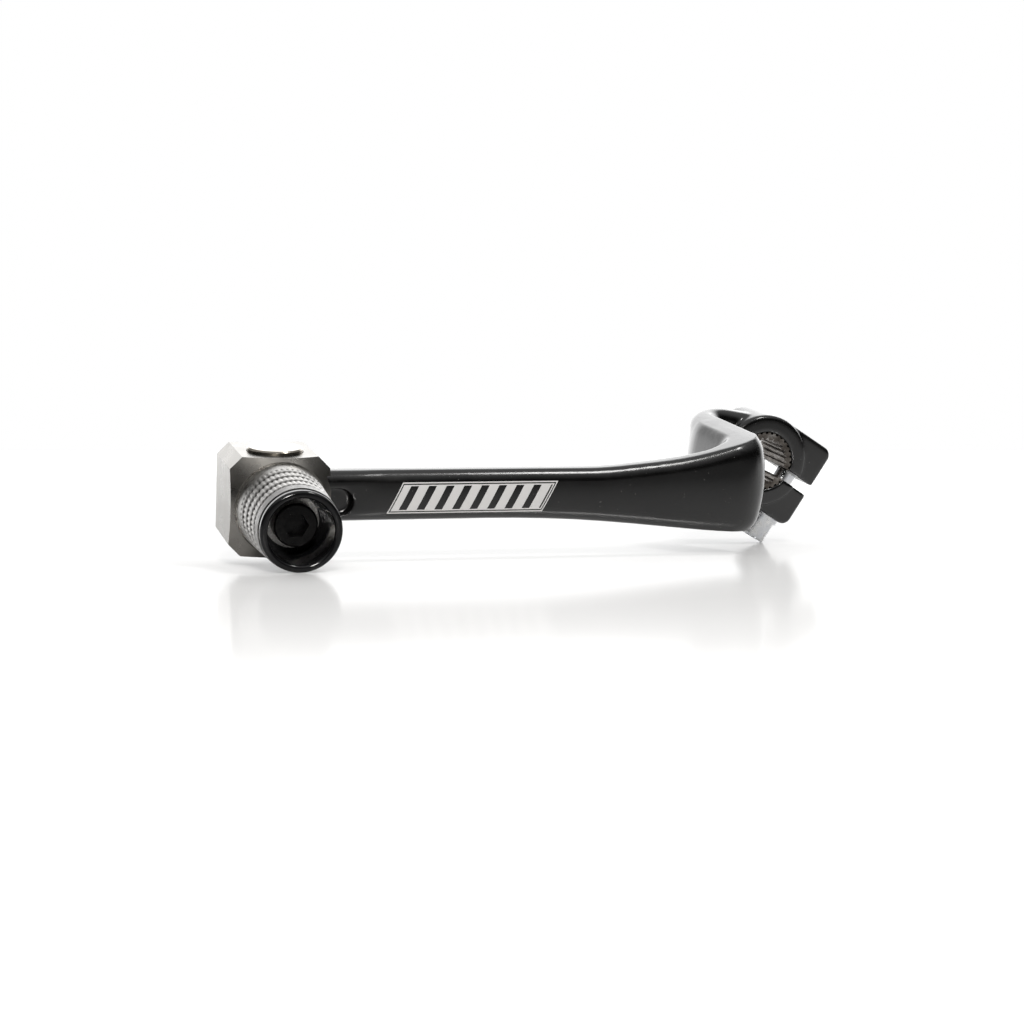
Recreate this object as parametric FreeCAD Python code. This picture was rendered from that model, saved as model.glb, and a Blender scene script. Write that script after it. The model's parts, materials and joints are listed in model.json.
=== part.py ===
import FreeCAD, Part
import math
import os

# Motorcycle gear shift lever with a folding toe peg.  Millimetres.
# Origin: middle of the splined bore.  +Y runs along the bore towards the engine,
# +X points rearward, away from the toe peg, and +Z is up.

# ---- driving sizes: lever -------------------------------------------------
LEVER_REACH = 144.4        # spline bore to peg pivot, along X
PEG_OUTSET = 47.8          # middle of the hub to the peg pivot, along Y
PIVOT_DROP = 0.3           # pivot centre below the bore centre
BAR_THICK = 8.4            # bar, across Y
BAR_TOP = 7.25             # bar faces above and below the peg axis, toe end
BAR_BOTTOM = -5.05
LEG_FRONT = 117.0          # cross leg, from the pivot along X
LEG_REAR = 128.2
LEG_TOP = 14.3             # crest of the leg above the peg axis
LEG_BOTTOM = -10.0
FLARE_START = 78.0         # where the bar begins to deepen towards the leg
BEND_CREASE_R = 7.0        # plan radii of the two bends
BEND_OUTER_R = 11.0
HUB_SWEEP_R = 26.0
NECK_BACK = 3.5            # back of the neck, beyond the hub's middle
HUB_INNER_R = 6.5
BAR_EDGE_R = 3.0           # rounding of the forged edges
POCKET_REACH = 18.2        # relief in the bar's outboard face
POCKET_HALF_H = 3.3
POCKET_DEPTH = 2.2

# ---- driving sizes: hub and clamp ----------------------------------------
SPLINES = 24
SPLINE_R = 6.0             # radius of the spline lands
SPLINE_DEPTH = 0.6
SERRATIONS = 31
SERRATION_DEPTH = 0.45
INSERT_WALL = 0.95         # steel left between splines and serrations
INSERT_R = SPLINE_R + SPLINE_DEPTH + INSERT_WALL + SERRATION_DEPTH
INSERT_LENGTH = 16.0
THREAD_INSERT_R = 3.8
THREAD_WALL = 0.4          # forging between the splined and the threaded insert
BOLT_REACH = INSERT_R + THREAD_INSERT_R + THREAD_WALL   # pinch bolt, from the bore centre
BOLT_R = 3.0
BOLT_HEAD_R = 5.0
BOLT_HEAD_H = 6.0
BOLT_HEX_R = 2.9
BOLT_WASHER_R = 5.6
BOLT_WASHER_H = 1.2
BOLT_TIP = 9.8             # end of the shank above the slot
HUB_WALL = 4.7
HUB_R = INSERT_R + HUB_WALL
HUB_LENGTH = 16.5          # round boss, along the bore
EAR_RECESS = 2.45          # clamp ears stand back from the boss face
CLAMP_ANGLE = 31.0         # slot direction, below +X
EAR_END_WALL = 5.8         # bolt centre to the end of the ears
EAR_REACH = BOLT_REACH + EAR_END_WALL
EAR_TOP = 12.8
EAR_BOTTOM = -12.0
EAR_CORNER_R = 2.5
SLOT_W = 3.0

# ---- driving sizes: folding tip ------------------------------------------
BLOCK_W = 23.5             # tip block, across X and Z
BLOCK_FRONT = -10.0
BLOCK_BACK = 11.6
BLOCK_CHAMFER = 2.8
BLOCK_TURNED_R = 11.0      # where the turned front cone starts
BLOCK_TURNED_DROP = 2.6
FOLD_DEG = 20.0            # travel of the folding tip
PIN_R = 3.5
PIN_HEAD_R = 6.6
PIN_HEAD_H = 2.2
PIN_HEAD_PROUD = 1.0
PIN_WASHER_T = 0.5
PIN_WASHER_R = PIN_R + 2.3
CLIP_T = 0.7
CLIP_R = 5.2
CLIP_ROOT_R = PIN_R - 0.6
THRUST_T = 0.5
BUSH_R = PIN_R + 0.8
BUSH_LENGTH = 5.0
WIRE_R = 0.45
SPRING_BOSS_R = BUSH_R + 1.1    # boss inside the return spring
SPRING_ROOM_H = 3.6
SPRING_R = SPRING_BOSS_R + WIRE_R + 0.35    # coil centre line
SPRING_TURNS = 2.5
SPRING_RISE = 2.4
SPRING_BEND_R = 0.8
SPRING_LEG = 1.6
EYE_R = SPRING_R + 1.0     # eye at the end of the bar

# ---- driving sizes: toe peg ----------------------------------------------
SPIGOT_R = 6.0
SPIGOT_LENGTH = 9.9
SLEEVE_R = 10.6            # parallel ring against the block
SLEEVE_RING = 2.0
SLEEVE_TIP_R = 9.5         # the knurled body tapers to this
SLEEVE_LENGTH = 21.8
CAP_LENGTH = 2.5           # lip of the end cap beyond the sleeve
CAP_R = 9.3
CAP_BORE_R = 7.54
CAP_CUP_R = 8.4            # outside of the cup, inside the sleeve
CAP_FLOOR = 1.5
CAP_INSET = 11.8           # how far the cup reaches into the sleeve
SEAL_WIRE_R = 0.5
SCREW_R = 3.0
SCREW_HEAD_R = 5.0
SCREW_HEAD_H = 5.0
SCREW_HEX_R = 2.9
SCREW_WASHER_R = 6.2
SCREW_WASHER_H = 1.1
SCREW_GRIP = 9.0
DOWEL_R = 1.0
DOWEL_LENGTH = 4.4
DOWEL_REACH = 8.2

# ---- clearances ----------------------------------------------------------
FIT = 0.02                 # parts that are seated or screwed home
RUN = 0.04                 # pin in its bushes
GAP = 0.05                 # each side of a thrust washer
SWING = 0.3                # folding tip past the bar
BOLT_CLEAR = 0.2

V = FreeCAD.Vector
UP = V(0, 0, 1)
ALONG_BORE = V(0, 1, 0)
PIVOT = V(-LEVER_REACH, -PEG_OUTSET, -PIVOT_DROP)


def cyl(radius, height, base, axis):
    return Part.makeCylinder(radius, height, base, axis)


def box(low, high):
    size = high - low
    return Part.makeBox(size.x, size.y, size.z, low)


def tube(outer, inner, height, base, axis):
    return cyl(outer, height, base, axis).cut(cyl(inner, height, base, axis))


def face_of(edges):
    return Part.Face(Part.Wire(Part.__sortEdges__(edges)))


def edges_where(shape, test):
    return [edge for edge in shape.Edges if test(edge)]


def hexagon(radius, depth, base, axis):
    """A hexagonal prism across corners 2 x radius, for a key socket."""
    points = [V(radius * math.cos(math.radians(60 * i)), radius * math.sin(math.radians(60 * i)), 0)
              for i in range(7)]
    prism = Part.Face(Part.makePolygon(points)).extrude(V(0, 0, depth))
    prism.Placement = FreeCAD.Placement(base, FreeCAD.Rotation(UP, axis))
    return prism


def toothed(root_r, tip_r, teeth, length, base):
    """A toothed prism along the bore: flat lands on tip_r, arcs on root_r between them."""
    step = 2 * math.pi / teeth
    share = (0.0, 0.42, 0.56, 0.86)

    def at(radius, angle):
        return V(radius * math.cos(angle), 0, radius * math.sin(angle))

    edges = []
    for i in range(teeth):
        a, b, c, d = [(i + s) * step for s in share]
        last = (i + 1) * step
        edges.append(Part.Arc(at(tip_r, a), at(tip_r, (a + b) / 2), at(tip_r, b)).toShape())
        edges.append(Part.makeLine(at(tip_r, b), at(root_r, c)))
        edges.append(Part.Arc(at(root_r, c), at(root_r, (c + d) / 2), at(root_r, d)).toShape())
        edges.append(Part.makeLine(at(root_r, d), at(tip_r, last)))
    prism = face_of(edges).extrude(V(0, length, 0))
    prism.translate(base)
    return prism


def rounded_outline(corners):
    """Edges of a closed XY outline; each corner is (x, y, radius)."""
    count = len(corners)
    ends = []
    for i, (x, y, radius) in enumerate(corners):
        here = V(x, y, 0)
        before = (V(*corners[i - 1][:2], 0) - here).normalize()
        after = (V(*corners[(i + 1) % count][:2], 0) - here).normalize()
        if radius == 0:
            ends.append((here, None, here))
            continue
        half = before.getAngle(after) / 2
        reach = radius / math.tan(half)
        middle = (before + after).normalize()
        centre = here + middle * (radius / math.sin(half))
        ends.append((here + before * reach, centre - middle * radius, here + after * reach))
    edges = []
    for i, (start, middle, end) in enumerate(ends):
        if middle is not None:
            edges.append(Part.Arc(start, middle, end).toShape())
        edges.append(Part.makeLine(end, ends[(i + 1) % count][0]))
    return edges


# ---- clamp directions -----------------------------------------------------
TURN = math.radians(CLAMP_ANGLE)
U = V(math.cos(TURN), 0, -math.sin(TURN))      # along the slot, away from the bore
W = V(math.sin(TURN), 0, math.cos(TURN))       # across the slot, towards the upper ear
HUB_FACE = -HUB_LENGTH / 2
HUB_BACK = HUB_LENGTH / 2
EAR_FACE = HUB_FACE + EAR_RECESS
BOLT_Y = (EAR_FACE + HUB_BACK) / 2


def clamp_point(u, w, y):
    return U * u + W * w + V(0, y, 0)


# ---- tip levels, measured from the pivot ----------------------------------
TONGUE_TOP = BAR_TOP - THRUST_T - 2 * GAP
TONGUE_BOTTOM = BAR_BOTTOM + THRUST_T + 2 * GAP
SLOT_TOP = BAR_TOP
SLOT_BOTTOM = BAR_BOTTOM
BLOCK_TOP = BLOCK_W / 2
HEAD_SEAT = BLOCK_TOP + PIN_HEAD_PROUD - PIN_HEAD_H
CLIP_ROOM = PIN_WASHER_T + CLIP_T + 4 * GAP + 0.4
CLIP_SEAT = -BLOCK_TOP + CLIP_ROOM
SPRING_CEILING = TONGUE_BOTTOM + SPRING_ROOM_H
SPRING_START = TONGUE_BOTTOM + SWING
SPRING_SLOPE = math.atan(SPRING_RISE / SPRING_TURNS / (2 * math.pi * SPRING_R))


def on_pivot(x, y, z):
    return PIVOT + V(x, y, z)


def arm_strip():
    """The forged bar, cross leg and hub neck: a plan outline cut by a side profile."""
    half = BAR_THICK / 2
    neck_face = PEG_OUTSET + EAR_FACE
    neck_back = PEG_OUTSET + NECK_BACK
    neck_end = LEVER_REACH - HUB_R * 0.2
    plan = rounded_outline([
        (0, -half, 0), (LEG_REAR, -half, BEND_OUTER_R), (LEG_REAR, neck_face, HUB_INNER_R),
        (neck_end, neck_face, 0), (neck_end, neck_back, 0),
        (LEG_FRONT, neck_back, HUB_SWEEP_R), (LEG_FRONT, half, BEND_CREASE_R), (0, half, 0)])
    plan_solid = face_of(plan).extrude(V(0, 0, 60))
    plan_solid.translate(V(0, 0, -30))

    crest = LEG_REAR - 1.5
    rise = LEG_TOP - BAR_TOP
    fall = BAR_BOTTOM - LEG_BOTTOM
    top = Part.BSplineCurve()
    top.interpolate([V(FLARE_START, 0, BAR_TOP), V(FLARE_START + 14, 0, BAR_TOP + 0.13 * rise),
                     V(FLARE_START + 27, 0, BAR_TOP + 0.36 * rise),
                     V(LEG_FRONT - 1, 0, BAR_TOP + 0.72 * rise), V(crest, 0, LEG_TOP),
                     V(neck_end, 0, PIVOT_DROP + HUB_R - 0.4)],
                    InitialTangent=V(1, 0, 0), FinalTangent=V(1, 0, -0.15))
    bottom = Part.BSplineCurve()
    bottom.interpolate([V(FLARE_START - 28, 0, BAR_BOTTOM), V(FLARE_START, 0, BAR_BOTTOM - 0.2 * fall),
                        V(FLARE_START + 27, 0, BAR_BOTTOM - 0.74 * fall), V(crest, 0, LEG_BOTTOM)],
                       InitialTangent=V(1, 0, 0), FinalTangent=V(1, 0, 0))
    side = [Part.makeLine(V(0, 0, BAR_TOP), V(FLARE_START, 0, BAR_TOP)), top.toShape(),
            Part.makeLine(V(neck_end, 0, PIVOT_DROP + HUB_R - 0.4), V(neck_end, 0, LEG_BOTTOM)),
            Part.makeLine(V(neck_end, 0, LEG_BOTTOM), V(crest, 0, LEG_BOTTOM)), bottom.toShape(),
            Part.makeLine(V(FLARE_START - 28, 0, BAR_BOTTOM), V(0, 0, BAR_BOTTOM)),
            Part.makeLine(V(0, 0, BAR_BOTTOM), V(0, 0, BAR_TOP))]
    side_solid = face_of(side).extrude(V(0, 90, 0))
    side_solid.translate(V(0, -20, 0))
    strip = plan_solid.common(side_solid)

    def long_edge(edge):
        span = edge.BoundBox
        upright = span.ZLength > 3 * max(span.XLength, span.YLength)
        at_end = span.XLength < 0.01 and (span.XMax < 0.01 or span.XMin > neck_end - 0.01)
        return not upright and not at_end

    strip = strip.makeFillet(BAR_EDGE_R, edges_where(strip, long_edge))
    strip.translate(PIVOT)
    return strip


def hub_blank():
    """Round boss with the two clamp ears, before boring and splitting."""
    boss = cyl(HUB_R, HUB_LENGTH, V(0, HUB_FACE, 0), ALONG_BORE)
    rims = edges_where(boss, lambda e: e.BoundBox.YLength < 0.01)
    boss = boss.makeFillet(1.4, rims)
    corners = [(0, EAR_BOTTOM), (EAR_REACH, EAR_BOTTOM), (EAR_REACH, EAR_TOP), (0, EAR_TOP)]
    ring = [clamp_point(u, w, EAR_FACE) for u, w in corners]
    ears = Part.Face(Part.makePolygon(ring + ring[:1])).extrude(V(0, HUB_BACK - EAR_FACE, 0))

    def ear_corner(edge):
        middle = edge.BoundBox.Center
        return edge.BoundBox.YLength > 5 and middle.dot(U) > EAR_REACH - 0.1

    ears = ears.makeFillet(EAR_CORNER_R, edges_where(ears, ear_corner))

    def ear_face_edge(edge):
        span = edge.BoundBox
        flat = span.YLength < 0.01
        return flat and max(v.Point.dot(U) for v in edge.Vertexes) > 0.1

    ears = ears.makeFillet(1.0, edges_where(ears, ear_face_edge))
    return boss.fuse(ears)


def bar_pocket():
    """Round-ended relief beside the block, in the bar's outboard face."""
    face_y = -BAR_THICK / 2
    end = POCKET_REACH - POCKET_HALF_H
    low = on_pivot(EYE_R - 1, face_y - 1, -POCKET_HALF_H)
    high = on_pivot(end, face_y + POCKET_DEPTH, POCKET_HALF_H)
    nose = cyl(POCKET_HALF_H, POCKET_DEPTH + 1, on_pivot(end, face_y - 1, 0), ALONG_BORE)
    return box(low, high).fuse(nose)


def lever_arm():
    arm = arm_strip().fuse(hub_blank())
    eye_blank = cyl(EYE_R, BAR_TOP - BAR_BOTTOM, on_pivot(0, 0, BAR_BOTTOM), UP)
    arm = arm.fuse(eye_blank).removeSplitter()

    # clamp: bore, slot, bolt hole in the lower ear, blind hole in the upper ear
    arm = arm.cut(cyl(INSERT_R + FIT, HUB_LENGTH + 2, V(0, HUB_FACE - 1, 0), ALONG_BORE))
    slot = box(V(0, HUB_FACE - 1, -SLOT_W / 2), V(EAR_REACH + 2, HUB_BACK + 1, SLOT_W / 2))
    slot.rotate(V(0, 0, 0), ALONG_BORE, CLAMP_ANGLE)
    arm = arm.cut(slot)
    lower = cyl(BOLT_R + BOLT_CLEAR, -EAR_BOTTOM + 1, clamp_point(BOLT_REACH, EAR_BOTTOM - 1, BOLT_Y), W)
    upper = cyl(THREAD_INSERT_R + FIT, BOLT_TIP + 0.6, clamp_point(BOLT_REACH, 0, BOLT_Y), W)
    arm = arm.cut(lower.fuse(upper))

    # folding end: thinned eye, spring room around a boss, bush bore, leg hole, relief
    eye_room = cyl(EYE_R + 4 * SWING, 30, on_pivot(0, 0, 0), UP)
    above = eye_room.copy()
    above.translate(V(0, 0, TONGUE_TOP))
    below = eye_room.copy()
    below.translate(V(0, 0, TONGUE_BOTTOM - 30))
    spring_room = cyl(SPRING_R + WIRE_R + SWING, SPRING_ROOM_H, on_pivot(0, 0, TONGUE_BOTTOM), UP)
    spring_room = spring_room.cut(cyl(SPRING_BOSS_R, SPRING_ROOM_H, on_pivot(0, 0, TONGUE_BOTTOM), UP))
    toe_side = box(on_pivot(-EYE_R - 1, -EYE_R - 1, TONGUE_BOTTOM), on_pivot(0, EYE_R + 1, SPRING_CEILING))
    toe_side = toe_side.cut(cyl(SPRING_BOSS_R, SPRING_ROOM_H, on_pivot(0, 0, TONGUE_BOTTOM), UP))
    bore = cyl(BUSH_R + FIT, 40, on_pivot(0, 0, -20), UP)
    leg_hole = cyl(WIRE_R + 0.1, SPRING_LEG + 1, PIVOT + spring_leg(-1) + UP * (SPRING_CEILING - 0.5), UP)
    for tool in (above, below, spring_room, toe_side, bore, leg_hole, bar_pocket()):
        arm = arm.cut(tool)
    return arm


def spline_insert():
    face = -INSERT_LENGTH / 2
    body = toothed(INSERT_R - SERRATION_DEPTH, INSERT_R, SERRATIONS, INSERT_LENGTH, V(0, face, 0))
    hole = toothed(SPLINE_R + SPLINE_DEPTH, SPLINE_R, SPLINES, INSERT_LENGTH + 2, V(0, face - 1, 0))
    slot = box(V(0, face - 1, -SLOT_W / 2), V(INSERT_R + 2, -face + 1, SLOT_W / 2))
    slot.rotate(V(0, 0, 0), ALONG_BORE, CLAMP_ANGLE)
    return body.cut(hole).cut(slot)


def cap_head_screw(shank_r, head_r, head_h, hex_r, seat, axis, grip):
    """Socket head screw; seat is under the head, axis points from head to tip."""
    head = cyl(head_r, head_h, seat - axis * head_h, axis)
    rim = edges_where(head, lambda e: abs((e.BoundBox.Center - seat).dot(axis) + head_h) < 0.01)
    head = head.makeFillet(0.5, rim)
    head = head.cut(hexagon(hex_r, head_h * 0.55, seat - axis * head_h, axis))
    shank = cyl(shank_r, grip, seat, axis)
    tip = edges_where(shank, lambda e: abs((e.BoundBox.Center - seat).dot(axis) - grip) < 0.01)
    return head.fuse(shank.makeChamfer(0.5, tip)).removeSplitter()


def pinch_bolt():
    seat = clamp_point(BOLT_REACH, EAR_BOTTOM - BOLT_WASHER_H, BOLT_Y)
    grip = BOLT_TIP - EAR_BOTTOM + BOLT_WASHER_H
    return cap_head_screw(BOLT_R, BOLT_HEAD_R, BOLT_HEAD_H, BOLT_HEX_R, seat, W, grip)


def pinch_washer():
    seat = clamp_point(BOLT_REACH, EAR_BOTTOM - BOLT_WASHER_H, BOLT_Y)
    return tube(BOLT_WASHER_R, BOLT_R + BOLT_CLEAR, BOLT_WASHER_H, seat, W)


def thread_insert():
    foot = clamp_point(BOLT_REACH, SLOT_W / 2, BOLT_Y)
    return tube(THREAD_INSERT_R, BOLT_R + FIT, BOLT_TIP - SLOT_W / 2, foot, W)


def pivot_bush(low):
    return tube(BUSH_R, PIN_R + RUN, BUSH_LENGTH, on_pivot(0, 0, low), UP)


def thrust_washer(low, radius):
    return tube(radius, PIN_R + 2 * RUN, THRUST_T, on_pivot(0, 0, low), UP)


def spring_leg(side):
    """Centre of a spring leg, seen from above: side is 1 for the block leg, -1 for the arm leg."""
    return V(side * SPRING_R, SPRING_BEND_R * (math.sin(SPRING_SLOPE) - 1), 0)


def return_spring():
    """Torsion spring round the lower boss: one leg down into the block, one up into the eye."""
    lead = SPRING_RISE / SPRING_TURNS
    helix = Part.makeHelix(lead, SPRING_RISE, SPRING_R)
    path = list(helix.Edges)
    for side, end, way in ((1, V(SPRING_R, 0, 0), -1), (-1, V(-SPRING_R, 0, SPRING_RISE), 1)):
        normal = V(0, math.sin(SPRING_SLOPE), way * math.cos(SPRING_SLOPE))
        centre = end + normal * SPRING_BEND_R
        foot = centre - V(0, SPRING_BEND_R, 0)
        middle = centre + (end + foot - centre * 2).normalize() * SPRING_BEND_R
        path.append(Part.Arc(end, middle, foot).toShape())
        path.append(Part.makeLine(foot, foot + UP * (way * SPRING_LEG)))
    wire = Part.Wire(Part.__sortEdges__(path))
    foot = spring_leg(1) + UP * (-SPRING_BEND_R * math.cos(SPRING_SLOPE) - SPRING_LEG)
    profile = Part.Wire(Part.makeCircle(WIRE_R, foot, UP))
    spring = wire.makePipeShell([profile], True, False)
    spring.translate(on_pivot(0, 0, SPRING_START))
    return spring


def swing_room():
    """Space that the bar needs inside the block, from rest to the folded stop."""
    half = BAR_THICK / 2 + SWING
    height = SLOT_TOP - SLOT_BOTTOM
    reach = BLOCK_W
    room = cyl(EYE_R + SWING, height, on_pivot(0, 0, SLOT_BOTTOM), UP)
    lean = math.radians(FOLD_DEG)
    far = V(reach * math.cos(lean), -reach * math.sin(lean), 0)
    side = V(-half * math.sin(lean), -half * math.cos(lean), 0)
    rest = BAR_THICK / 2 + GAP
    ring = [V(0, rest, 0), V(reach, rest, 0), far + side, side]
    wedge = Part.Face(Part.makePolygon(ring + ring[:1])).extrude(V(0, 0, height))
    wedge.translate(on_pivot(0, 0, SLOT_BOTTOM))
    return room.fuse(wedge)


def tip_block():
    half = BLOCK_W / 2
    block = box(on_pivot(-half, BLOCK_FRONT, -half), on_pivot(half, BLOCK_BACK, half))

    def long_corner(edge):
        return edge.BoundBox.YLength > 5

    block = block.makeChamfer(BLOCK_CHAMFER, edges_where(block, long_corner))
    outer_r = half * 1.5
    cone_h = BLOCK_TURNED_DROP * (outer_r - BLOCK_TURNED_R) / (half * 1.25 - BLOCK_TURNED_R)
    nose = Part.makeCone(BLOCK_TURNED_R, outer_r, cone_h, on_pivot(0, BLOCK_FRONT, 0), ALONG_BORE)
    rest = cyl(outer_r, BLOCK_BACK - BLOCK_FRONT - cone_h, on_pivot(0, BLOCK_FRONT + cone_h, 0), ALONG_BORE)
    block = block.common(nose.fuse(rest))
    block = block.cut(swing_room())

    spigot = cyl(SPIGOT_R, SPIGOT_LENGTH, on_pivot(0, BLOCK_FRONT - SPIGOT_LENGTH, 0), ALONG_BORE)
    block = block.fuse(spigot).removeSplitter()
    thread = cyl(SCREW_R + FIT, SCREW_GRIP + 0.5, on_pivot(0, BLOCK_FRONT - SPIGOT_LENGTH, 0), ALONG_BORE)
    pin_hole = cyl(PIN_R + FIT, BLOCK_W, on_pivot(0, 0, -half), UP)
    head_seat = cyl(PIN_HEAD_R + 0.1, PIN_HEAD_H, on_pivot(0, 0, HEAD_SEAT), UP)
    clip_room = cyl(PIN_WASHER_R + 0.4, CLIP_ROOM + 1, on_pivot(0, 0, -half - 1), UP)
    leg_hole = cyl(WIRE_R + 0.1, SPRING_LEG + 0.6, PIVOT + spring_leg(1) + UP * (SLOT_BOTTOM - SPRING_LEG), UP)
    dowel_hole = cyl(DOWEL_R + FIT, DOWEL_LENGTH / 2 + FIT, on_pivot(0, BLOCK_FRONT, DOWEL_REACH), ALONG_BORE)
    dowel_hole.translate(V(0, -FIT, 0))
    for tool in (thread, pin_hole, head_seat, clip_room, leg_hole, dowel_hole):
        block = block.cut(tool)
    return block


def pivot_pin():
    foot = -BLOCK_TOP + 0.2
    shaft = cyl(PIN_R, HEAD_SEAT - foot, on_pivot(0, 0, foot), UP)
    shaft = shaft.makeChamfer(0.4, edges_where(shaft, lambda e: abs(e.BoundBox.ZMax - PIVOT.z - foot) < 0.01))
    groove_low = CLIP_SEAT - PIN_WASHER_T - CLIP_T - 3 * GAP
    groove = tube(PIN_R + 1, CLIP_ROOT_R, CLIP_T + 2 * GAP, on_pivot(0, 0, groove_low), UP)
    head = cyl(PIN_HEAD_R, PIN_HEAD_H, on_pivot(0, 0, HEAD_SEAT), UP)
    rim = edges_where(head, lambda e: abs(e.BoundBox.ZMin - PIVOT.z - HEAD_SEAT - PIN_HEAD_H) < 0.01)
    return shaft.cut(groove).fuse(head.makeChamfer(0.35, rim)).removeSplitter()


def pin_washer():
    low = CLIP_SEAT - PIN_WASHER_T - GAP
    return tube(PIN_WASHER_R, PIN_R + 2 * RUN, PIN_WASHER_T, on_pivot(0, 0, low), UP)


def pin_circlip():
    low = CLIP_SEAT - PIN_WASHER_T - CLIP_T - 2 * GAP
    ring = tube(CLIP_R, CLIP_ROOT_R + FIT, CLIP_T, on_pivot(0, 0, low), UP)
    mouth = box(on_pivot(-CLIP_ROOT_R * 0.8, 0, low - 1), on_pivot(CLIP_ROOT_R * 0.8, CLIP_R + 1, low + 2))
    return ring.cut(mouth)


# ---- toe peg levels along Y, from the pivot --------------------------------
SLEEVE_END = BLOCK_FRONT - SLEEVE_LENGTH
CAP_SEAT = SLEEVE_END + CAP_INSET
CAP_END = SLEEVE_END - CAP_LENGTH
WASHER_SEAT = CAP_SEAT - CAP_FLOOR
HEAD_UNDER = WASHER_SEAT - SCREW_WASHER_H


def turned(points, arcs=()):
    """Solid of revolution about the peg axis; points are (radius, y), arcs add a bulge point."""
    edges = []
    for i, (start, end) in enumerate(zip(points, points[1:] + points[:1])):
        first, last = V(start[0], start[1], 0), V(end[0], end[1], 0)
        bulge = dict(arcs).get(i)
        if bulge is None:
            edges.append(Part.makeLine(first, last))
        else:
            edges.append(Part.Arc(first, V(bulge[0], bulge[1], 0), last).toShape())
    solid = face_of(edges).revolve(V(0, 0, 0), ALONG_BORE, 360)
    solid.translate(PIVOT)
    return solid


def knurled_sleeve():
    """Sleeve over the knurl's crests, with its spigot bore and the counterbore for the cup."""
    body = turned([(0, BLOCK_FRONT), (SLEEVE_R, BLOCK_FRONT), (SLEEVE_R, BLOCK_FRONT - SLEEVE_RING),
                   (SLEEVE_TIP_R, SLEEVE_END), (0, SLEEVE_END)])
    bore = cyl(SPIGOT_R + FIT, SLEEVE_LENGTH + 1, on_pivot(0, SLEEVE_END, 0), ALONG_BORE)
    counterbore = cyl(CAP_CUP_R + FIT, CAP_INSET, on_pivot(0, SLEEVE_END, 0), ALONG_BORE)
    dowel_hole = cyl(DOWEL_R + FIT, DOWEL_LENGTH / 2 + FIT,
                     on_pivot(0, BLOCK_FRONT - DOWEL_LENGTH / 2 - FIT, DOWEL_REACH), ALONG_BORE)
    return body.cut(bore).cut(counterbore).cut(dowel_hole)


def seal_y():
    return SLEEVE_END + CAP_INSET / 2


def end_cap():
    """Cup with a rounded lip outside the sleeve, a seal groove and a drilled floor."""
    lip_r = (CAP_R - CAP_BORE_R) / 2
    crown = CAP_BORE_R + lip_r
    cup = turned([(0, CAP_SEAT), (CAP_CUP_R, CAP_SEAT), (CAP_CUP_R, SLEEVE_END), (CAP_R, SLEEVE_END),
                  (CAP_R, CAP_END + lip_r), (CAP_BORE_R, CAP_END + lip_r),
                  (CAP_BORE_R, WASHER_SEAT), (0, WASHER_SEAT)], [(4, (crown, CAP_END))])
    groove = Part.makeTorus(CAP_CUP_R, SEAL_WIRE_R + FIT, on_pivot(0, seal_y(), 0), ALONG_BORE)
    hole = cyl(SCREW_R + BOLT_CLEAR, 20, on_pivot(0, WASHER_SEAT - 5, 0), ALONG_BORE)
    return cup.cut(groove).cut(hole)


def cap_seal():
    """Rubber ring in the cup's groove, squeezed flat against the sleeve."""
    ring = Part.makeTorus(CAP_CUP_R, SEAL_WIRE_R, on_pivot(0, seal_y(), 0), ALONG_BORE)
    wall = cyl(CAP_CUP_R, 3 * SEAL_WIRE_R, on_pivot(0, seal_y() - 1.5 * SEAL_WIRE_R, 0), ALONG_BORE)
    return ring.common(wall)


def cap_washer():
    return tube(SCREW_WASHER_R, SCREW_R + BOLT_CLEAR, SCREW_WASHER_H, on_pivot(0, HEAD_UNDER, 0), ALONG_BORE)


def cap_screw():
    grip = SCREW_GRIP + CAP_FLOOR + SCREW_WASHER_H + (BLOCK_FRONT - SPIGOT_LENGTH - CAP_SEAT)
    return cap_head_screw(SCREW_R, SCREW_HEAD_R, SCREW_HEAD_H, SCREW_HEX_R,
                          on_pivot(0, HEAD_UNDER, 0), ALONG_BORE, grip)


def locating_dowel():
    return cyl(DOWEL_R, DOWEL_LENGTH, on_pivot(0, BLOCK_FRONT - DOWEL_LENGTH / 2, DOWEL_REACH), ALONG_BORE)


PIECES = {
    "lever_arm": lever_arm(),
    "spline_insert": spline_insert(),
    "pinch_bolt": pinch_bolt(),
    "pinch_washer": pinch_washer(),
    "thread_insert": thread_insert(),
    "pivot_bush_upper": pivot_bush(TONGUE_TOP - BUSH_LENGTH),
    "pivot_bush_lower": pivot_bush(TONGUE_BOTTOM),
    "thrust_washer_upper": thrust_washer(TONGUE_TOP + GAP, EYE_R - 0.6),
    "thrust_washer_lower": thrust_washer(SLOT_BOTTOM + GAP, SPRING_BOSS_R),
    "return_spring": return_spring(),
    "tip_block": tip_block(),
    "pivot_pin": pivot_pin(),
    "pin_washer": pin_washer(),
    "pin_circlip": pin_circlip(),
    "knurled_sleeve": knurled_sleeve(),
    "locating_dowel": locating_dowel(),
    "end_cap": end_cap(),
    "cap_seal": cap_seal(),
    "cap_washer": cap_washer(),
    "cap_screw": cap_screw(),
}

os.makedirs("parts", exist_ok=True)
for name, shape in PIECES.items():
    shape.exportStep("parts/" + name + ".step")
    print(name, "valid" if shape.isValid() else "INVALID", len(shape.Solids), "solids", round(shape.Volume, 1), "mm3")
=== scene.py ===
import json
import math

import bmesh
import bpy
import numpy as np
from mathutils import Matrix, Vector


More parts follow.
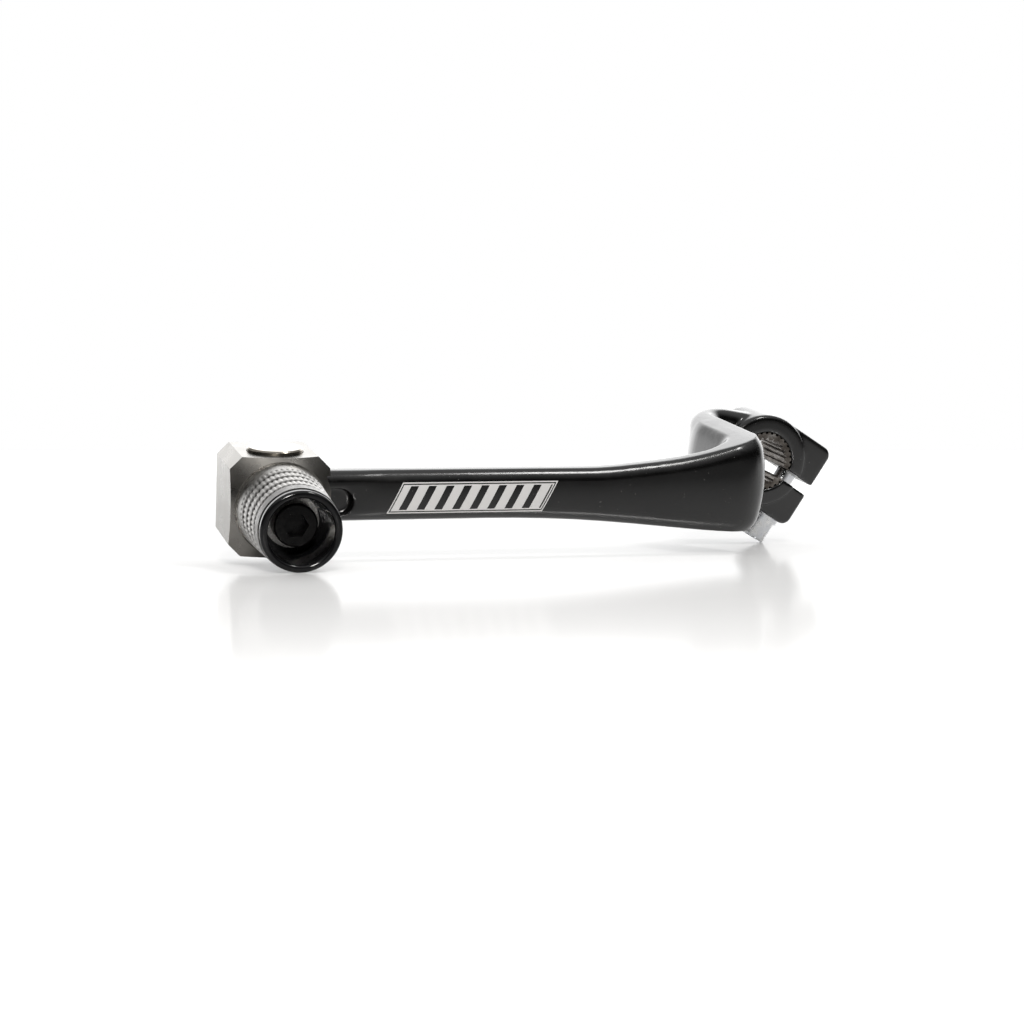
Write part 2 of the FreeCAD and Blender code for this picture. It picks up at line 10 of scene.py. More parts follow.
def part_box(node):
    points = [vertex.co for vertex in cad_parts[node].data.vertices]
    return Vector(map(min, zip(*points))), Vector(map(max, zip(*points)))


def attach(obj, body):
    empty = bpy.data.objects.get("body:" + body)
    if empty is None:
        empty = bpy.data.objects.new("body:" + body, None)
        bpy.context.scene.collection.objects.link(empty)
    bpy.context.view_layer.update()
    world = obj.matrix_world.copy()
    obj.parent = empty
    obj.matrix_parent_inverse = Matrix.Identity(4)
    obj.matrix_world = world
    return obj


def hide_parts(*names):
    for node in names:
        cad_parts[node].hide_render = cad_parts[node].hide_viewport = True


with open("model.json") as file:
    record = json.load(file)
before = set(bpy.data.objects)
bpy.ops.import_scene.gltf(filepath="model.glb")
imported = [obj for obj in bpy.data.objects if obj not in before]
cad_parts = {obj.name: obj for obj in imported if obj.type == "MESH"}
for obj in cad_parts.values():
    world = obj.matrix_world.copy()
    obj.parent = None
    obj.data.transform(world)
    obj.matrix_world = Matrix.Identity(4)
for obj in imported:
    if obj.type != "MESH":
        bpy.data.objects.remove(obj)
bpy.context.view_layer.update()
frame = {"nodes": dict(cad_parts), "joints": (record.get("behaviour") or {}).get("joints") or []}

# ---- the view -------------------------------------------------------------
# The lever is seen from its outer side, from slightly above and ahead of the toe peg,
# as it lies on a table on its toe peg and the head of its clamp screw.
peg_pivot = Vector(frame["joints"][0]["pos_m"])
look_at = peg_pivot + Vector((0.05913, 0.0, -0.00394))
view_azimuth, view_drop, view_roll = (math.radians(a) for a in (17.81, 12.20, 2.93))
view_distance, lens_length = 0.485, 69.53

ahead = Vector((math.sin(view_azimuth) * math.cos(view_drop),
                math.cos(view_azimuth) * math.cos(view_drop), -math.sin(view_drop)))
level_right = Vector((math.cos(view_azimuth), -math.sin(view_azimuth), 0.0))
level_up = level_right.cross(ahead)
right = level_right * math.cos(view_roll) + level_up * math.sin(view_roll)
above = level_up * math.cos(view_roll) - level_right * math.sin(view_roll)

camera_data = bpy.data.cameras.new("view")
camera_data.lens = lens_length
camera_data.sensor_width = 36.0
camera_data.clip_start = 0.01
camera = bpy.data.objects.new("view", camera_data)
turn = Matrix((right, above, -ahead)).transposed().to_4x4()
camera.matrix_world = Matrix.Translation(look_at - ahead * view_distance) @ turn
bpy.context.scene.collection.objects.link(camera)
bpy.context.scene.camera = camera
bpy.context.scene.view_settings.view_transform = "Standard"

# ---- the forged arm -------------------------------------------------------
# One aluminium forging: bar, cross leg and split clamp, tumbled smooth and coated gloss
# black.  Forging leaves its broad faces slightly crowned, and the coating has a faint
# orange peel, dust specks, and a silver laser-etched panel of slanted bars on the bar.


class Wire:
    """A shader socket, wrapped so that sums on it read as Python and add Math nodes."""
    def __init__(self, finish, socket):
        self.finish, self.socket = finish, socket

    def _sum(self, operation, first, second):
        return self.finish.node("ShaderNodeMath", {"operation": operation}, {0: first, 1: second})

    def __add__(self, other):
        return self._sum("ADD", self, other)

    def __sub__(self, other):
        return self._sum("SUBTRACT", self, other)

    def __rsub__(self, other):
        return self._sum("SUBTRACT", other, self)

    def __mul__(self, other):
        return self._sum("MULTIPLY", self, other)

    def __truediv__(self, other):
        return self._sum("DIVIDE", self, other)

    def __gt__(self, other):
        return self._sum("GREATER_THAN", self, other)

    def __lt__(self, other):
        return self._sum("LESS_THAN", self, other)

    def at_least(self, other):
        return self._sum("MAXIMUM", self, other)

    __radd__, __rmul__ = __add__, __mul__


class Finish:
    """One material.  node adds any node: its settings are set first, then its sockets."""
    def __init__(self, name, constants):
        self.material = bpy.data.materials.new(name)
        self.material.use_nodes = True
        self.tree = self.material.node_tree
        self.shader = self.tree.nodes["Principled BSDF"]
        for socket, value in constants.items():
            self.shader.inputs[socket].default_value = value

    def node(self, kind, settings, sockets, output=0):
        made = self.tree.nodes.new(kind)
        for key, value in settings.items():
            if key == "stops":
                ramp = made.color_ramp.elements
                while len(ramp) < len(value):
                    ramp.new(0.5)
                for element, (place, colour) in zip(ramp, value):
                    element.position = place
                    element.color = (*colour, 1.0)
            else:
                setattr(made, key, value)
        for socket, value in sockets.items():
            if isinstance(value, Wire):
                self.tree.links.new(value.socket, made.inputs[socket])
            else:
                made.inputs[socket].default_value = value
        return Wire(self, made.outputs[output])

    def feed(self, socket, wire):
        self.tree.links.new(wire.socket, self.shader.inputs[socket])

    def place(self, scale=(1, 1, 1), centre=(0, 0, 0), turned=(0, 0, 0)):
        """Object coordinates, moved so that centre is the origin, turned and stretched."""
        here = self.node("ShaderNodeTexCoord", {}, {}, "Object")
        there = self.node("ShaderNodeVectorMath", {"operation": "SUBTRACT"}, {0: here, 1: centre})
        return self.node("ShaderNodeMapping", {}, {"Vector": there, "Rotation": turned, "Scale": scale})

    def noise(self, where, size, detail=3.0, rough=0.5):
        """Noise from 0 to 1 whose grain is about size metres across."""
        return self.node("ShaderNodeTexNoise", {}, {"Vector": where, "Scale": 1.0 / size, "Detail": detail,
                                                    "Roughness": rough}, "Fac")

    def ramp(self, value, stops):
        return self.node("ShaderNodeValToRGB", {"stops": stops}, {"Fac": value}, "Color")

    def apart(self, where):
        """The three numbers of a place."""
        split = self.node("ShaderNodeSeparateXYZ", {}, {"Vector": where}, "X").socket.node
        return [Wire(self, split.outputs[axis]) for axis in "XYZ"]

    def mix(self, mask, first, second):
        """Two colours, the second where the mask is 1."""
        pick = self.node("ShaderNodeMix", {"data_type": "RGBA"}, {}, 2).socket.node
        for socket, value in ((0, mask), (6, first), (7, second)):
            if isinstance(value, Wire):
                self.tree.links.new(value.socket, pick.inputs[socket])
            else:
                pick.inputs[socket].default_value = (*value, 1.0)
        return Wire(self, pick.outputs[2])

    def spread(self, value, low, high, start=0.3, end=0.7):
        """value between start and end, laid onto low to high."""
        return self.node("ShaderNodeMapRange", {}, {"Value": value, "From Min": start, "From Max": end,
                                                    "To Min": low, "To Max": high}, "Result")

    def bump(self, height, depth):
        """A bump whose height 1 stands depth metres proud."""
        self.feed("Normal", self.node("ShaderNodeBump", {}, {"Height": height, "Strength": 1.0,
                                                             "Distance": depth}, "Normal"))

    def cover(self, *nodes):
        """The finish goes on every material slot of these CAD nodes."""
        for name in nodes:
            mesh = frame["nodes"][name].data
            mesh.materials.clear()
            mesh.materials.append(self.material)


arm_reach = -peg_pivot.x
arm = Finish("black_gloss_coating", {"IOR": 1.72})
arm_here = arm.place()
from_peg, _, height = arm.apart(arm.place(centre=peg_pivot))
rub = arm.noise(arm_here, 0.011, 5.0, 0.6)
peel = arm.noise(arm_here, 0.0016, 2.0)
specks_per_metre, speck_radius, dusty_above = 900.0, 0.11, 0.56
dust = arm.node("ShaderNodeTexVoronoi", {}, {"Vector": arm_here, "Scale": specks_per_metre},
                "Distance") < speck_radius
dust = dust * (arm.noise(arm_here, 0.004, 2.0) > dusty_above)

panel_start, panel_end, panel_low, panel_high = 0.0280, 0.0670, -0.0030, 0.0046
bar_pitch, bar_lean, frame_line = 0.0044, 0.50, 0.00030
silver_share, face_on = 0.56, 0.75       # of each pitch; how squarely a face looks outward
leaned = from_peg - height * bar_lean


def beyond(inset):
    """1 outside the panel when its edge is drawn in by inset."""
    return (leaned < panel_start + inset).at_least(leaned > panel_end - inset).at_least(
        height < panel_low + inset).at_least(height > panel_high - inset)


dash = arm.node("ShaderNodeMath", {"operation": "FRACT"}, {0: (leaned - panel_start) / bar_pitch}) > silver_share
core = beyond(3 * frame_line).at_least(1 - dash)
etched = (1 - beyond(0)) * (beyond(frame_line) + (1 - beyond(2 * frame_line)) * core)
faces_out = arm.node("ShaderNodeVectorMath", {"operation": "DOT_PRODUCT"},
                     {0: arm.node("ShaderNodeNewGeometry", {}, {}, "Normal"), 1: (0, -1, 0)}, "Value") > face_on
etched = etched * faces_out

coating = arm.ramp(rub, [(0.3, (0.0030, 0.0030, 0.0032)), (0.7, (0.0065, 0.0063, 0.0062))])
coating = arm.mix(dust, coating, (0.10, 0.10, 0.095))
arm.feed("Base Color", arm.mix(etched, coating, (0.90, 0.89, 0.88)))
gloss = arm.spread(rub + 0.25 * arm.noise(arm_here, 0.0008), 0.14, 0.26, 0.35, 0.9)
arm.feed("Roughness", gloss + etched * 0.25)

arm.bump(peel, 0.000010)


def eased(value, start, end):
    """0 before start and 1 past end, with a smooth change between."""
    part = np.clip((value - start) / (end - start), 0.0, 1.0)
    return part * part * (3 - 2 * part)


# the forging's skin is even and tumbled, and its broad sides are crowned: they draw in
# towards the upper and lower edges, from past the eye and its relief as far as the clamp
skin_size, tumbling = 0.00044, 5
bar_crown, bend_crown = 17.0, 12.0      # drawn in, per metre of height squared
bar_middle, bend_middle = 0.0008, 0.0019
flare_at, bend_at = 0.078, 0.118
crown_from_eye, crown_full = 0.019, 0.027
clamp_edge, clamp_clear = 0.007, 0.017

forging = bmesh.new()
forging.from_mesh(frame["nodes"]["lever_arm"].data)
bmesh.ops.remove_doubles(forging, verts=forging.verts, dist=2e-7)
blank = bpy.data.meshes.new("arm_blank")
forging.to_mesh(blank)
forging.free()
forged = bpy.data.objects.new("forged_arm", blank)
bpy.context.scene.collection.objects.link(forged)
even = forged.modifiers.new("even_skin", "REMESH")
even.mode, even.voxel_size, even.use_smooth_shade = "VOXEL", skin_size, True
tumbled = forged.modifiers.new("tumbling", "SMOOTH")
tumbled.factor, tumbled.iterations = 0.5, tumbling
skin_mesh = bpy.data.meshes.new_from_object(forged.evaluated_get(bpy.context.evaluated_depsgraph_get()))
forged.modifiers.clear()
forged.data = skin_mesh

arm_low, arm_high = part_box("lever_arm")
total = len(skin_mesh.vertices)
spots, turns = np.empty(3 * total), np.empty(3 * total)
skin_mesh.vertices.foreach_get("co", spots)
skin_mesh.vertex_normals.foreach_get("vector", turns)
spots, turns = spots.reshape(-1, 3), turns.reshape(-1, 3)
along_bar = spots[:, 0] - peg_pivot.x
flare = eased(along_bar, flare_at, bend_at)
amount = bar_crown + (bend_crown - bar_crown) * flare
above_middle = spots[:, 2] - bar_middle - (bend_middle - bar_middle) * flare
share = eased(along_bar, crown_from_eye, crown_full) * eased(-spots[:, 1], clamp_edge, clamp_clear)
spots[:, :2] -= turns[:, :2] * (amount * above_middle ** 2 * share)[:, None]
spots = np.clip(spots, arm_low, arm_high)
skin_mesh.vertices.foreach_set("co", spots.ravel())
skin_mesh.update()
skin_mesh.shade_smooth()
skin_mesh.materials.clear()
skin_mesh.materials.append(arm.material)
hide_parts("lever_arm")
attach(forged, "lever")

# ---- the splined insert ---------------------------------------------------
# A steel ring pressed into the clamp and split with it.  Its splines and outer serrations
# are broached and left bare, so it is grey-brown, with broach marks along the bore.
steel = Finish("raw_broached_steel", {"Metallic": 1.0})
steel_here = steel.place((1.0, 0.12, 1.0))
steel_stain = steel.noise(steel.place(), 0.0022, 4.0)
steel.feed("Base Color", steel.ramp(steel_stain, [(0.3, (0.075, 0.064, 0.056)), (0.55, (0.18, 0.162, 0.145)),
                                                  (0.75, (0.40, 0.385, 0.37))]))
steel.feed("Roughness", steel.spread(steel.noise(steel_here, 0.0003), 0.28, 0.5))
steel.bump(steel.noise(steel_here, 0.00022), 0.00003)
steel.cover("spline_insert")

# ---- the clamp screw ------------------------------------------------------
# A socket head screw and washer, bright zinc plated, that pull the clamp's ears together
# through a bare stainless thread insert in the upper ear.
zinc = Finish("bright_zinc", {"Metallic": 1.0})
zinc_cloud = zinc.noise(zinc.place(), 0.0018, 4.0)
zinc.feed("Base Color", zinc.ramp(zinc_cloud, [(0.3, (0.76, 0.78, 0.82)), (0.7, (0.92, 0.92, 0.91))]))
zinc.feed("Roughness", zinc.spread(zinc_cloud, 0.16, 0.3))
zinc.bump(zinc.noise(zinc.place(), 0.0004), 0.000012)
zinc.cover("pinch_bolt", "pinch_washer")

bare = Finish("turned_stainless", {"Metallic": 1.0})
bare_grain = bare.noise(bare.place(), 0.0005, 3.0)
bare.feed("Base Color", bare.ramp(bare_grain, [(0.3, (0.5, 0.49, 0.47)), (0.7, (0.66, 0.65, 0.63))]))
bare.feed("Roughness", bare.spread(bare_grain, 0.25, 0.4))
bare.bump(bare_grain, 0.00001)
bare.cover("thread_insert", "pin_washer", "locating_dowel")

# ---- the pivot's hidden parts ---------------------------------------------
# Sintered bronze bushes, white acetal thrust washers, and a wound torsion spring that
# turns the folding tip back, all inside the eye at the end of the bar.
bronze = Finish("sintered_bronze", {"Metallic": 1.0})
bronze_grain = bronze.noise(bronze.place(), 0.0003, 5.0, 0.7)
bronze.feed("Base Color", bronze.ramp(bronze_grain, [(0.35, (0.28, 0.17, 0.08)), (0.65, (0.55, 0.38, 0.2))]))
bronze.feed("Roughness", bronze.spread(bronze_grain, 0.35, 0.55))
bronze.bump(bronze_grain, 0.00002)
bronze.cover("pivot_bush_upper", "pivot_bush_lower")

acetal = Finish("white_acetal", {"Subsurface Weight": 0.05})
acetal_grain = acetal.noise(acetal.place(), 0.0006, 3.0)
acetal.feed("Base Color", acetal.ramp(acetal_grain, [(0.3, (0.70, 0.69, 0.64)), (0.7, (0.82, 0.81, 0.77))]))
acetal.feed("Roughness", acetal.spread(acetal_grain, 0.35, 0.5))
acetal.bump(acetal_grain, 0.00001)
acetal.cover("thrust_washer_upper", "thrust_washer_lower")

wound = Finish("oiled_spring_wire", {"Metallic": 1.0})
wound_grain = wound.noise(wound.place(), 0.0004, 4.0)
wound.feed("Base Color", wound.ramp(wound_grain, [(0.3, (0.10, 0.10, 0.105)), (0.7, (0.30, 0.30, 0.31))]))
wound.feed("Roughness", wound.spread(wound_grain, 0.25, 0.42))
wound.bump(wound_grain, 0.00001)
wound.cover("return_spring", "pin_circlip")

# ---- the tip block --------------------------------------------------------
# A block milled from bar and turned to a cone on its outer face, bead blasted and
# anodised in a warm gunmetal grey.
block = Finish("gunmetal_anodising", {"Metallic": 0.95, "IOR": 1.5})
block_here = block.place()
block_cloud = block.noise(block_here, 0.006, 4.0)
block.feed("Base Color", block.ramp(block_cloud, [(0.3, (0.270, 0.258, 0.240)), (0.7, (0.330, 0.318, 0.297))]))
block_blast = block.noise(block_here, 0.00022, 2.0)
block.feed("Roughness", block.spread(block_cloud, 0.25, 0.33))
block.bump(block_blast, 0.000010)
block.cover("tip_block")

# ---- the pivot pin --------------------------------------------------------
# A large flat-headed pin that holds the tip block to the bar's eye.  Its head is faced
# in a lathe and polished, so fine rings run round it.
polished = Finish("polished_pin", {"Metallic": 1.0})
pin_low, pin_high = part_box("pivot_pin")
pin_top = ((pin_low.x + pin_high.x) / 2, (pin_low.y + pin_high.y) / 2, 0.0)
pin_rings = polished.node("ShaderNodeTexWave", {"wave_type": "RINGS", "rings_direction": "Z"},
                          {"Vector": polished.place(centre=pin_top), "Scale": 420.0, "Distortion": 0.6,
                           "Detail": 2.0}, "Fac")
pin_cloud = polished.noise(polished.place(), 0.003, 4.0)
polished.feed("Base Color", polished.ramp(pin_cloud, [(0.3, (0.37, 0.34, 0.295)), (0.7, (0.46, 0.43, 0.38))]))
polished.feed("Roughness", polished.spread(pin_cloud, 0.12, 0.24))
polished.bump(pin_rings, 0.000004)
polished.cover("pivot_pin")

# ---- the end cap ----------------------------------------------------------
# A deep cup pressed into the sleeve, with a rounded lip, polished and anodised black.
# A rubber ring seals it, and a black socket screw on a bare washer holds the peg together.
cap = Finish("black_gloss_anodising", {"IOR": 1.5})
cap_here = cap.place()
cap_cloud = cap.noise(cap_here, 0.004, 4.0)
cap.feed("Base Color", cap.ramp(cap_cloud, [(0.3, (0.004, 0.004, 0.0045)), (0.7, (0.010, 0.010, 0.011))]))
cap.feed("Roughness", cap.spread(cap_cloud, 0.07, 0.14))
cap.bump(cap.noise(cap_here, 0.0007, 2.0), 0.000008)
cap.cover("end_cap")

oxide = Finish("black_oxide", {"Metallic": 0.7})
oxide_cloud = oxide.noise(oxide.place(), 0.0012, 4.0)
oxide.feed("Base Color", oxide.ramp(oxide_cloud, [(0.3, (0.006, 0.006, 0.0065)), (0.7, (0.018, 0.0175, 0.017))]))
oxide.feed("Roughness", oxide.spread(oxide_cloud, 0.25, 0.42))
oxide.bump(oxide.noise(oxide.place(), 0.0003), 0.00001)
oxide.cover("cap_screw")
bare.cover("cap_washer")

rubber = Finish("seal_rubber", {"IOR": 1.45})
rubber_cloud = rubber.noise(rubber.place(), 0.0006, 3.0)
rubber.feed("Base Color", rubber.ramp(rubber_cloud, [(0.3, (0.012, 0.012, 0.012)), (0.7, (0.022, 0.022, 0.022))]))
rubber.feed("Roughness", rubber.spread(rubber_cloud, 0.6, 0.75))
rubber.bump(rubber_cloud, 0.00001)
rubber.cover("cap_seal")

# ---- the knurled sleeve ---------------------------------------------------
# A turned aluminium sleeve: a smooth ring against the block, then a tapered grip cut into
# pads by flutes along it and grooves round it, then a plain land before the cap's lip.
flutes_round, flute_depth = 52, 0.00014
groove_places, groove_width, groove_depth = (0.0075, 0.0113, 0.0151, 0.0187), 0.0014, 0.00042
grip_from, grip_to = 0.0052, 0.0190
steps_round, steps_along = 416, 96

sleeve_low, sleeve_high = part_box("knurled_sleeve")
sleeve_mid = (sleeve_low + sleeve_high) / 2
raw = np.array([v.co for v in frame["nodes"]["knurled_sleeve"].data.vertices])
radius = np.hypot(raw[:, 0] - sleeve_mid.x, raw[:, 2] - sleeve_mid.z)
from_block = sleeve_high.y - raw[:, 1]
length = from_block.max()
ring_out = radius.max()
ring_end = from_block[(radius > ring_out - 2e-5)].max()
tip_out = radius[from_block > length - 2e-5].max()
tip_in = radius[from_block > length - 2e-5].min()
back_in = radius.min()
step_at = from_block[(radius < back_in + 2e-5)].max()

taper = (tip_out - ring_out) / (length - ring_end)
outer = [(t, ring_out if t < ring_end else ring_out + taper * (t - ring_end))
         for t in np.linspace(0.0, length, steps_along)]
bore_slack = 1e-5
wall = outer + [(length, tip_in + bore_slack), (step_at, tip_in + bore_slack),
                (step_at, back_in + bore_slack), (0.0, back_in + bore_slack)]
around = np.linspace(0, 2 * math.pi, steps_round, endpoint=False)
points = [(sleeve_mid.x + r * math.cos(a), sleeve_high.y - t, sleeve_mid.z + r * math.sin(a))
          for t, r in wall for a in around]
count = len(wall)
faces = [((i % count) * steps_round + j, (i % count) * steps_round + (j + 1) % steps_round,
          ((i + 1) % count) * steps_round + (j + 1) % steps_round, ((i + 1) % count) * steps_round + j)
         for i in range(count) for j in range(steps_round)]
sleeve_mesh = bpy.data.meshes.new("sleeve_turning")
sleeve_mesh.from_pydata(points, [], faces)
skin = sleeve_mesh.attributes.new("skin", "FLOAT", "POINT")
skin.data.foreach_set("value", [1.0 if n // steps_round < steps_along else 0.0 for n in range(len(points))])
sleeve = bpy.data.objects.new("grip_sleeve", sleeve_mesh)
bpy.context.scene.collection.objects.link(sleeve)

silver = Finish("machined_aluminium", {"Metallic": 1.0})
silver_cloud = silver.noise(silver.place(), 0.0012, 4.0)
recess = silver.node("ShaderNodeAttribute", {"attribute_name": "recess"}, {}, "Fac")
bright = silver.ramp(silver_cloud, [(0.3, (0.36, 0.35, 0.335)), (0.7, (0.52, 0.51, 0.495))])
land = silver.node("ShaderNodeAttribute", {"attribute_name": "land"}, {}, "Fac")
# Painted shade: the knurl's recesses are painted darker the deeper they are, down to near black at full groove
# depth.
cut = silver.mix(silver.spread(recess, 0.0, 1.0, 0.15, 1.0), bright, (0.045, 0.043, 0.040))
silver.feed("Base Color", silver.mix(land, cut, (0.20, 0.195, 0.19)))
silver.feed("Roughness", silver.spread(silver_cloud, 0.24, 0.38) + 0.2 * recess)
silver.bump(silver.noise(silver.place((0.3, 4.0, 0.3)), 0.0004), 0.000012)


class Cutter:
    """Builds the knurling tree; its sums are Wires as a finish's are."""
    def __init__(self, tree):
        self.tree = tree

    node = Finish.node


cut_tree = bpy.data.node_groups.new("knurling", "GeometryNodeTree")
cutter = Cutter(cut_tree)
cut_inputs = {"Flutes": flutes_round, "Flute depth": flute_depth, "Groove width": groove_width,
              "Groove depth": groove_depth, "Grip from": grip_from, "Grip to": grip_to}
cut_tree.interface.new_socket("Geometry", in_out="INPUT", socket_type="NodeSocketGeometry")
cut_ids = {name: cut_tree.interface.new_socket(name, in_out="INPUT", socket_type="NodeSocketFloat").identifier
           for name in cut_inputs}
cut_tree.interface.new_socket("Geometry", in_out="OUTPUT", socket_type="NodeSocketGeometry")
given = cut_tree.nodes.new("NodeGroupInput")
size = {name: Wire(cutter, given.outputs[name]) for name in cut_inputs}


def ask(operation, *values):
    return cutter.node("ShaderNodeMath", {"operation": operation}, dict(enumerate(values)))


offset = cutter.node("ShaderNodeVectorMath", {"operation": "SUBTRACT"},
                     {0: cutter.node("GeometryNodeInputPosition", {}, {}),
                      1: (sleeve_mid.x, sleeve_high.y, sleeve_mid.z)})
parts = cutter.node("ShaderNodeSeparateXYZ", {}, {"Vector": offset}, "X").socket.node
across_x, along_y, across_z = [Wire(cutter, parts.outputs[axis]) for axis in "XYZ"]
along_y = 0 - along_y
angle = ask("ARCTAN2", across_z, across_x)
flute = ask("POWER", ask("ABSOLUTE", ask("COSINE", angle * size["Flutes"] * 0.5)), 3.0) * size["Flute depth"]
groove = flute * 0
for place in groove_places:
    # a groove's section is a rounded V
    near = ask("MAXIMUM", 1 - ask("ABSOLUTE", (along_y - place) / (size["Groove width"] * 0.5)), 0.0)
    groove = groove.at_least(ask("POWER", near, 0.7) * size["Groove depth"])
inside = (along_y > size["Grip from"]) * (along_y < size["Grip to"])
on_skin = cutter.node("GeometryNodeInputNamedAttribute", {"data_type": "FLOAT"}, {"Name": "skin"}, "Attribute")
depth = (flute + groove * (0.55 + 0.45 * flute / size["Flute depth"])) * inside * on_skin
outward = cutter.node("ShaderNodeVectorMath", {"operation": "NORMALIZE"}, {
    0: cutter.node("ShaderNodeCombineXYZ", {}, {"X": across_x, "Z": across_z})})
inward = cutter.node("ShaderNodeVectorMath", {"operation": "SCALE"}, {0: outward, "Scale": 0 - depth})
moved = cutter.node("GeometryNodeSetPosition", {}, {"Geometry": Wire(cutter, given.outputs["Geometry"]),
                                                    "Offset": inward})
# The recess depth kept here is what the sleeve's finish uses to paint shade into the knurl.
kept = cutter.node("GeometryNodeStoreNamedAttribute", {"data_type": "FLOAT", "domain": "POINT"},
                   {"Geometry": moved, "Name": "recess", "Value": depth / size["Groove depth"]})
marked = cutter.node("GeometryNodeStoreNamedAttribute", {"data_type": "FLOAT", "domain": "POINT"},
                     {"Geometry": kept, "Name": "land", "Value": (along_y > size["Grip to"]) * on_skin})
whole = cutter.node("GeometryNodeRealizeInstances", {}, {"Geometry": marked})
dressed = cutter.node("GeometryNodeSetMaterial", {}, {"Geometry": whole, "Material": silver.material})
cut_tree.links.new(dressed.socket, cut_tree.nodes.new("NodeGroupOutput").inputs["Geometry"])

knurling = sleeve.modifiers.new("knurling", "NODES")
knurling.node_group = cut_tree
for name, value in cut_inputs.items():
    knurling[cut_ids[name]] = float(value)
worked = bpy.data.meshes.new_from_object(sleeve.evaluated_get(bpy.context.evaluated_depsgraph_get()))
sleeve.modifiers.remove(knurling)
sleeve.data = worked
tidy = bmesh.new()
tidy.from_mesh(worked)
bmesh.ops.recalc_face_normals(tidy, faces=tidy.faces)
tidy.to_mesh(worked)
tidy.free()
worked.shade_smooth()
worked.set_sharp_from_angle(angle=math.radians(50))
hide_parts("knurled_sleeve")
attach(sleeve, "folding_tip")

# ---- the table and the light ----------------------------------------------
# A white board touches the toe peg and the clamp screw, and is level across the view.
# It shows the camera a brighter side than it shows the lever, and so does the room. It also glows with painted
# light, faintly round the lever and more strongly further off.
# A broad light hangs overhead, the room behind is bright and the viewer's side is dim.
def lowest(names, upward):
    return min(v.co.dot(upward) for n in names for v in frame["nodes"][n].data.vertices)


def upward_for(slope):
    return Vector(((slope * right.y - right.z) / right.x, -slope, 1.0)).normalized()


gentle, steep = 0.1, -0.5
for halving in range(30):
    slope = (gentle + steep) / 2
    upward = upward_for(slope)
    if lowest(["pinch_bolt"], upward) < lowest(["end_cap", "knurled_sleeve"], upward):
        gentle = slope
    else:
        steep = slope
level = lowest(["pinch_bolt"], upward)

board = Finish("white_board", {"Specular IOR Level": 0.0, "Emission Strength": 1.0})
_, ahead_of_lever, _ = board.apart(board.place(centre=tuple(look_at)))
paper = board.ramp(board.noise(board.place(), 0.05), [(0.3, (0.92, 0.92, 0.92)), (0.7, (0.94, 0.94, 0.94))])
board.feed("Base Color", paper)
sheen = board.tree.nodes.new("ShaderNodeBsdfGlossy")
sheen.inputs["Roughness"].default_value = 0.11
sheen.inputs["Color"].default_value = (0.95, 0.95, 0.95, 1.0)
top_coat = board.tree.nodes.new("ShaderNodeMixShader")
top_coat.inputs[0].default_value = 0.20
dim = board.tree.nodes.new("ShaderNodeBsdfDiffuse")
dim.inputs["Color"].default_value = (0.16, 0.16, 0.16, 1.0)
lit = board.tree.nodes.new("ShaderNodeMixShader")
# Painted light: the board glows, barely within 12 cm of the lever's middle and more and more out to 60 cm, so it
# is painted darker round the lever and brighter further off.
painted_glow_distance = board.node("ShaderNodeVectorMath", {"operation": "LENGTH"},
                  {0: board.place(centre=tuple(look_at))}, "Value")
board.feed("Emission Color", board.spread(painted_glow_distance, 0.02, 0.50, 0.12, 0.60))
board.tree.links.new(board.shader.outputs[0], top_coat.inputs[1])
board.tree.links.new(sheen.outputs[0], top_coat.inputs[2])
# Painted reflection: the board shows the lever its lit, glowing side only from 8.5 cm on the viewer's side of the
# lever's middle and beyond, and its dim side nearer the viewer, so the lever's faces reflect brightness only from
# the board just below and behind them.
direct = Wire(board, board.tree.nodes.new("ShaderNodeLightPath").outputs["Is Camera Ray"])
painted_reflection_strip = board.spread(ahead_of_lever, 0.0, 1.0, -0.085, 0.0)
board.tree.links.new(direct.at_least(painted_reflection_strip).socket, lit.inputs[0])
board.tree.links.new(dim.outputs[0], lit.inputs[1])
board.tree.links.new(top_coat.outputs[0], lit.inputs[2])
board.tree.links.new(lit.outputs[0], board.tree.nodes["Material Output"].inputs["Surface"])
side, under_parts = 3.0, 0.00005
across = level_right.cross(upward).cross(upward).normalized()
along = upward.cross(across)
centre = look_at + upward * (level - look_at.dot(upward) - under_parts)
corners = [centre + across * (side * a) + along * (side * b)
           for a, b in ((-1, -1), (1, -1), (1, 1), (-1, 1))]
board_mesh = bpy.data.meshes.new("table")
board_mesh.from_pydata([tuple(c) for c in corners], [], [(0, 1, 2, 3)])
if board_mesh.polygons[0].normal.dot(upward) < 0:
    board_mesh.flip_normals()
board_mesh.materials.append(board.material)
table = bpy.data.objects.new("table", board_mesh)
bpy.context.scene.collection.objects.link(table)

world = bpy.data.worlds.new("studio")
bpy.context.scene.world = world
world.use_nodes = True
sky = world.node_tree
seen = sky.nodes.new("ShaderNodeTexCoord")


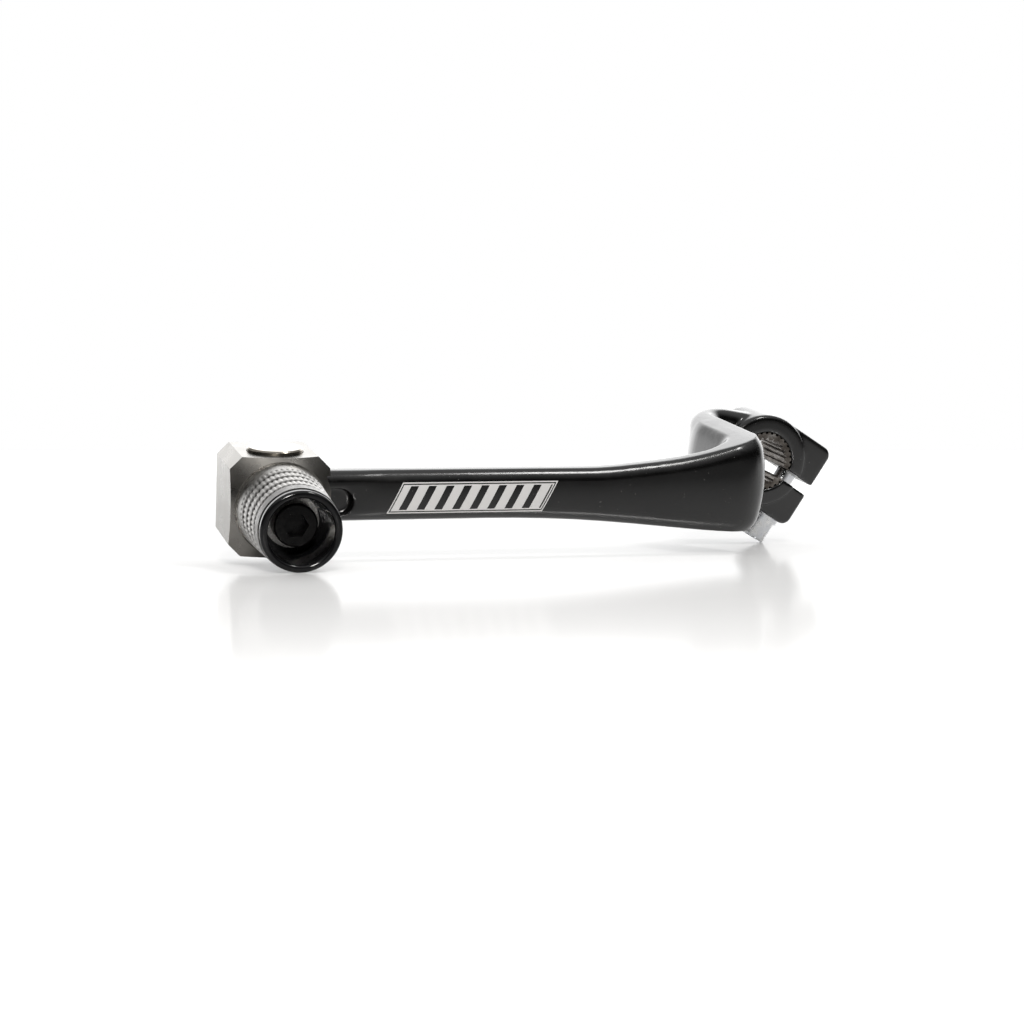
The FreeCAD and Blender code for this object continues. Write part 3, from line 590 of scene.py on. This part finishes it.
def toward(direction, dark_at, bright_at):
    """0 to 1 as the sky's direction turns towards the given one, by its cosine."""
    lean = sky.nodes.new("ShaderNodeVectorMath")
    lean.operation = "DOT_PRODUCT"
    lean.inputs[1].default_value = direction
    sky.links.new(seen.outputs["Generated"], lean.inputs[0])
    span = sky.nodes.new("ShaderNodeMapRange")
    span.interpolation_type = "SMOOTHSTEP"
    span.inputs["From Min"].default_value = dark_at
    span.inputs["From Max"].default_value = bright_at
    sky.links.new(lean.outputs["Value"], span.inputs["Value"])
    return span.outputs["Result"]


def larger(first, second):
    pick = sky.nodes.new("ShaderNodeMath")
    pick.operation = "MAXIMUM"
    sky.links.new(first, pick.inputs[0])
    sky.links.new(second, pick.inputs[1])
    return pick.outputs["Value"]


def brightness(value, strength):
    scaled = sky.nodes.new("ShaderNodeMath")
    scaled.operation = "MULTIPLY"
    scaled.inputs[1].default_value = strength
    sky.links.new(value, scaled.inputs[0])
    return scaled.outputs["Value"]


overhead_strength, backdrop_strength = 0.55, 2.4
overhead = brightness(toward(upward, 0.30, 0.9), overhead_strength)
backdrop = brightness(toward(ahead, 0.50, 0.88), backdrop_strength)
room = sky.nodes.new("ShaderNodeMix")
straight = sky.nodes.new("ShaderNodeLightPath").outputs["Is Camera Ray"]
sky.links.new(straight, room.inputs["Factor"])
sky.links.new(larger(overhead, backdrop), room.inputs["A"])
room.inputs["B"].default_value = 1.0
sky.links.new(room.outputs["Result"], sky.nodes["Background"].inputs["Strength"])
sky.nodes["Background"].inputs["Color"].default_value = (1.0, 1.0, 1.0, 1.0)


def lamp(name, place, size, power, colour=(1.0, 1.0, 1.0)):
    """A square soft light that faces the lever's middle."""
    data = bpy.data.lights.new(name, "AREA")
    data.size, data.energy, data.color = size, power, colour
    made = bpy.data.objects.new(name, data)
    spot = look_at + Vector(place)
    made.matrix_world = Matrix.Translation(spot) @ (look_at - spot).to_track_quat("-Z", "Y").to_matrix().to_4x4()
    bpy.context.scene.collection.objects.link(made)


lamp("key", (0.21, -0.12, 0.55), 0.10, 0.6, (1.0, 0.99, 0.97))
lamp("fill", (-0.16, -0.56, 0.42), 0.13, 2.2, (1.0, 0.98, 0.95))
